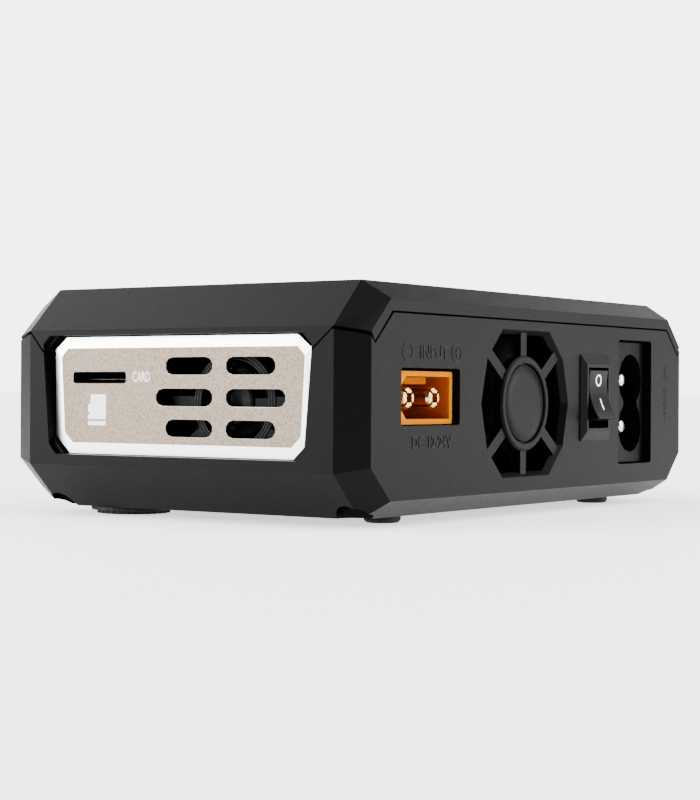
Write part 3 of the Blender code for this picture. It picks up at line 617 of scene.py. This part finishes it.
def rotor_mesh(back, tip_r, hub_r):
    """Cup and blades of a fan whose frame starts at height back along the drawing's own Z."""
    front, cup = back + FAN_DEPTH, hub_r - 0.3
    mesh = lathe([(0, back + 1.9), (cup, back + 1.9), (cup, front - 1.2), (cup - 0.15, front - 0.8),
                  (cup - 0.5, front - 0.55), (cup - 1.0, front - 0.5), (cup - 1.1, front - 0.62),
                  (0, front - 0.62)])
    bm = bmesh.new()
    bm.from_mesh(mesh)
    for k in range(BLADES):
        add_blade(bm, 2 * math.pi * k / BLADES, cup - 0.4, tip_r, back + 2.3, front - 1.5)
    return closed(bm, mesh)


for name, place, back, tip_r, hub_r in (("fan_1", on_face(INPUT_SIDE, *GRILLE), 21.8, 13.3, 7.6),
                                        ("fan_2", on_face(CARD_END, 0.0, HUB_Y, HUB_Z), 41.6, 11.2, 6.2)):
    rotor = piece(name + "_impeller", lay(rotor_mesh(back, tip_r, hub_r), place), JET, name + "_rotor")
    rotor.data.shade_smooth()
    crease = rotor.modifiers.new("crease", "EDGE_SPLIT")
    crease.split_angle = math.radians(35)
    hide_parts(name + "_rotor")


# ---- details seen through the card end's openings ----------------------------
# grey rims and cap of the hub behind the vent slots
HUB_X = 51.05                 # plane of the rims
for name, radius in (("outer", 7.72), ("middle", 7.2), ("inner", 6.68)):
    place = on_face(CARD_END, HUB_X, HUB_Y, HUB_Z)
    rim = piece("end_hub_rim_" + name, lay(hoop(radius, 0.14), place), HUB_GREY)
    rim.data.shade_smooth()
cap = [(0, 51.0), (3.2, 51.0), (3.2, 51.12), (3.05, 51.2), (0, 51.24)]
boss = piece("end_hub_cap", lay(lathe(cap, 32), on_face(CARD_END, 0.0, HUB_Y, HUB_Z)), HUB_GREY)
boss.data.shade_smooth()

# four springs seen in the card slot, darkened as painted shade
SPRING_HALF_W = 0.95
for k, y in enumerate((-20.1, -17.9, -15.7, -13.5)):
    leaf = block(50.6, 51.0, y - SPRING_HALF_W, y + SPRING_HALF_W, 2.86, 3.0)
    spring = piece("card_spring_%d" % k, leaf, SHADED_STEEL)
    round_edges(spring, 0.05)


# ---- battery side ------------------------------------------------------------
for name, text, x, z in (("output_word", "OUTPUT", 33.0, 0.2), ("balance_word", "BALANCE", 2.0, -3.4),
                         ("usb_word", "USB", -26.0, -2.7)):
    piece(name, lay(words(text, 1.9, 0.3, 1.1, 0.03), on_face(BATTERY_SIDE, x, -SIDE_Y, z)), LIT_MARK)
for name, x, crossed in (("output_minus", 41.2, False), ("output_plus", 24.8, True)):
    sign(name, on_face(BATTERY_SIDE, x, -SIDE_Y, 0.2), 1.4, 1.4, 0.3, crossed)

# cell numbers under the balance header
PITCH = 2.5                   # between the header's pins
for k, text in enumerate("-123456"):
    place = on_face(BATTERY_SIDE, -5.5 + PITCH * k, -SIDE_Y, -12.75)
    piece("cell_mark_%d" % k, lay(words(text, 1.2, 0.3), place), LIT_MARK)


# ---- top: lit area of the display, arrow on the key --------------------------
piece("screen_area", lay(outline_mesh([bar(52.0, 38.0)], 0.02), on_face(TOP, -8.0, 0.0, 17.7)), PANEL)
arrow = [(-1.8, 0.5), (-0.8, 1.3), (-0.8, 0.675), (1.55, 0.675), (1.55, -1.175), (-0.2, -1.175),
         (-0.2, -0.825), (1.2, -0.825), (1.2, 0.325), (-0.8, 0.325), (-0.8, -0.3)]
piece("key_arrow", lay(outline_mesh([arrow], 0.06), on_face(TOP, 33.0, -14.0, 18.2)), PRINT, "key")


# ---- studio ------------------------------------------------------------------
FLOOR_GLOW = 1.2              # lifts the floor to the backdrop's brightness
FLOOR_HALF = 20               # metres
WHITE = (1.0, 1.0, 1.0, 1.0)


def pale_floor():
    g = new_material("pale_floor")
    g.put(Roughness=0.7, Specular_IOR_Level=0.1, Emission_Strength=FLOOR_GLOW, Emission_Color=WHITE)
    g.colour(g.mix(g.span(g.noise(3.0), 0.0, 1.0), (0.90, 0.90, 0.90), (0.93, 0.93, 0.93)))
    return g.block


corners = [(x * FLOOR_HALF, y * FLOOR_HALF, 0) for x, y in ((-1, -1), (1, -1), (1, 1), (-1, 1))]
floor_mesh = bpy.data.meshes.new("floor")
floor_mesh.from_pydata(corners, [], [(0, 1, 2, 3)])
floor = bpy.data.objects.new("floor", floor_mesh)
bpy.context.scene.collection.objects.link(floor)
floor.data.materials.append(pale_floor())
floor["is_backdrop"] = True


def compass(azimuth, elevation):
    """Unit direction for an azimuth from +X towards +Y and an elevation, in degrees."""
    a, e = math.radians(azimuth), math.radians(elevation)
    return (math.cos(a) * math.cos(e), math.sin(a) * math.cos(e), math.sin(e))


WORLD_LEVEL = 5.2             # strength of the even light
# centre azimuth and elevation, inner and outer half angle in degrees, factor at the centre
SOFT_LIGHTS = [
    (-38.0, 0.0, 14.0, 42.0, 3.5),      # wide softbox facing the card end
    (-97.0, 6.0, 14.0, 30.0, 0.1),      # gap beyond the wide softbox, on the battery side
    (-90.0, 58.0, 12.0, 40.0, 0.9),     # slightly dimmer patch high on the battery side
    (26.0, 2.0, 42.0, 64.0, 0.01),      # black flag behind the camera
    (0.0, 90.0, 10.0, 32.0, 0.4),       # dimmer patch straight overhead
    (134.0, 0.0, 10.0, 18.0, 4.2),      # narrow softbox on the input side
    (170.0, 0.0, 20.0, 30.0, 0.02),     # gap beside the backdrop
    (203.0, 46.0, 22.0, 33.0, 0.05),    # gap above the backdrop
]


def studio_world():
    """Even light, multiplied by each patch's factor, which fades out between its half angles."""
    g = Graph(bpy.data.worlds.new("studio"), "Background")
    direction = g.node("ShaderNodeTexCoord").outputs["Generated"]
    level = g.node("ShaderNodeValue")
    level.outputs[0].default_value = WORLD_LEVEL
    total = level.outputs[0]
    for azimuth, elevation, inner, outer, factor in SOFT_LIGHTS:
        dot = g.node("ShaderNodeVectorMath", operation="DOT_PRODUCT")
        g.link(direction, dot.inputs[0])
        dot.inputs[1].default_value = compass(azimuth, elevation)
        edge, core = math.cos(math.radians(outer)), math.cos(math.radians(inner))
        share = g.span(dot.outputs["Value"], 1.0, factor, edge, core)
        share.node.interpolation_type = "SMOOTHSTEP"
        product = g.node("ShaderNodeMath", operation="MULTIPLY")
        g.link(total, product.inputs[0])
        g.link(share, product.inputs[1])
        total = product.outputs[0]
    g.link(total, g.shader.inputs["Strength"])
    g.put(Color=WHITE)
    return g.block


bpy.context.scene.world = studio_world()

# camera in metres, at the photo's angle
camera_data = bpy.data.cameras.new("camera")
camera_data.sensor_width = 36.0
camera_data.lens = 85.2
camera_data.clip_start = 0.01
camera_data.clip_end = 100.0
camera = bpy.data.objects.new("camera", camera_data)
forward = Vector((-0.8228, -0.5683, -0.0042)).normalized()
right = Vector((-0.5683, 0.8228, 0.0)).normalized()
up = right.cross(forward)
roll = math.radians(0.323)
cos_roll, sin_roll = math.cos(roll), math.sin(roll)
right, up = right * cos_roll + up * sin_roll, up * cos_roll - right * sin_roll
pose = Matrix((right, up, -forward)).transposed().to_4x4()
pose.translation = (0.27918, 0.187974, 0.020163)
camera.matrix_world = pose
bpy.context.scene.collection.objects.link(camera)
bpy.context.scene.camera = camera

size_at_end = plain(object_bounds())
